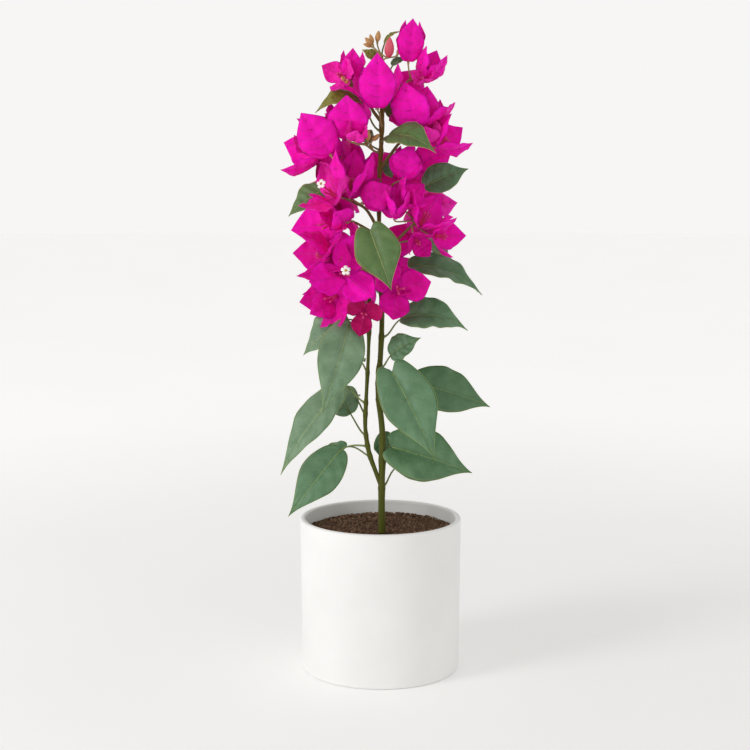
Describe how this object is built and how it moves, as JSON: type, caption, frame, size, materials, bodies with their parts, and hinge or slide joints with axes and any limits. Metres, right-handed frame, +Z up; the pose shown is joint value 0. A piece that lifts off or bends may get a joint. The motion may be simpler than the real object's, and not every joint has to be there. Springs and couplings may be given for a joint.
{
  "type": "potted bougainvillea",
  "caption": "Upright flowering shrub on two thin stems, with arching boughs, large pointed leaves and papery bract sprays, in a round straight-sided pot.",
  "frame": {"origin": "centre of the flat underside of the pot", "axes": "+Z up along the pot's axis and the stems, +X to the right seen from the front, -Y towards the front"},
  "size_m": [0.1845, 0.147, 0.5588],
  "materials": {
    "pot": "smooth white with a soft satin sheen",
    "soil": "loose dark brown potting soil in fine crumbs",
    "stem": "olive green young bark with faint streaks, browner higher up",
    "bough": "thin brown green young wood",
    "leaf": "soft matte green leaf with pale veins and margins",
    "young_leaf": "olive green young leaf with a pinkish margin",
    "bracts": "thin papery magenta bracts with darker veins, on thin green stalks",
    "buds": "small tan and pink closed buds on thin stalks"
  },
  "bodies": {
    "root": {"pot": "pot", "soil": "soil", "main_stem": "stem", "side_stem": "stem", "bough_left_upper": "bough", "bough_left_middle": "bough", "bough_right_upper": "bough", "bough_right_lower": "bough", "bough_top_left": "bough", "bough_top_right": "bough", "leaf_front_left": "leaf", "leaf_left_behind": "leaf", "leaf_left_long": "leaf", "leaf_left_small": "leaf", "leaf_low_left": "leaf", "leaf_low_left_behind": "leaf", "leaf_front_right": "leaf", "leaf_right_long": "leaf", "leaf_low_right": "leaf", "leaf_low_right_behind": "leaf", "leaf_low_middle": "leaf", "leaf_wavy": "leaf", "leaf_right_upper": "leaf", "leaf_right_high": "leaf", "leaf_right_flowers": "leaf", "leaf_top_right": "young_leaf", "leaf_heart_front": "young_leaf", "leaf_left_flowers": "young_leaf", "leaf_left_middle": "leaf", "leaf_top_left": "young_leaf", "leaf_top_small": "young_leaf", "leaf_tip_narrow": "young_leaf", "leaf_tip_left": "young_leaf", "leaf_tip_right": "leaf", "leaf_middle_small": "leaf", "leaf_back_low_right": "leaf", "leaf_back_low_left": "leaf", "leaf_back_right": "leaf", "leaf_back_left": "leaf", "leaf_back_middle": "leaf", "leaf_back_upper": "leaf", "leaf_back_high": "young_leaf", "spray_tip": "buds", "spray_top_right": "bracts", "spray_top_left": "bracts", "spray_front_top": "bracts", "spray_left_high": "bracts", "spray_left_upper": "bracts", "spray_left_middle": "bracts", "spray_left_low": "bracts", "spray_low_left": "bracts", "spray_low_front": "bracts", "spray_right_upper": "bracts", "spray_right_middle": "bracts", "spray_right_low": "bracts", "spray_low_right": "bracts", "spray_back_top": "bracts", "spray_back_left": "bracts", "spray_back_right": "bracts", "spray_back_low": "bracts"}
  },
  "joints": []
}
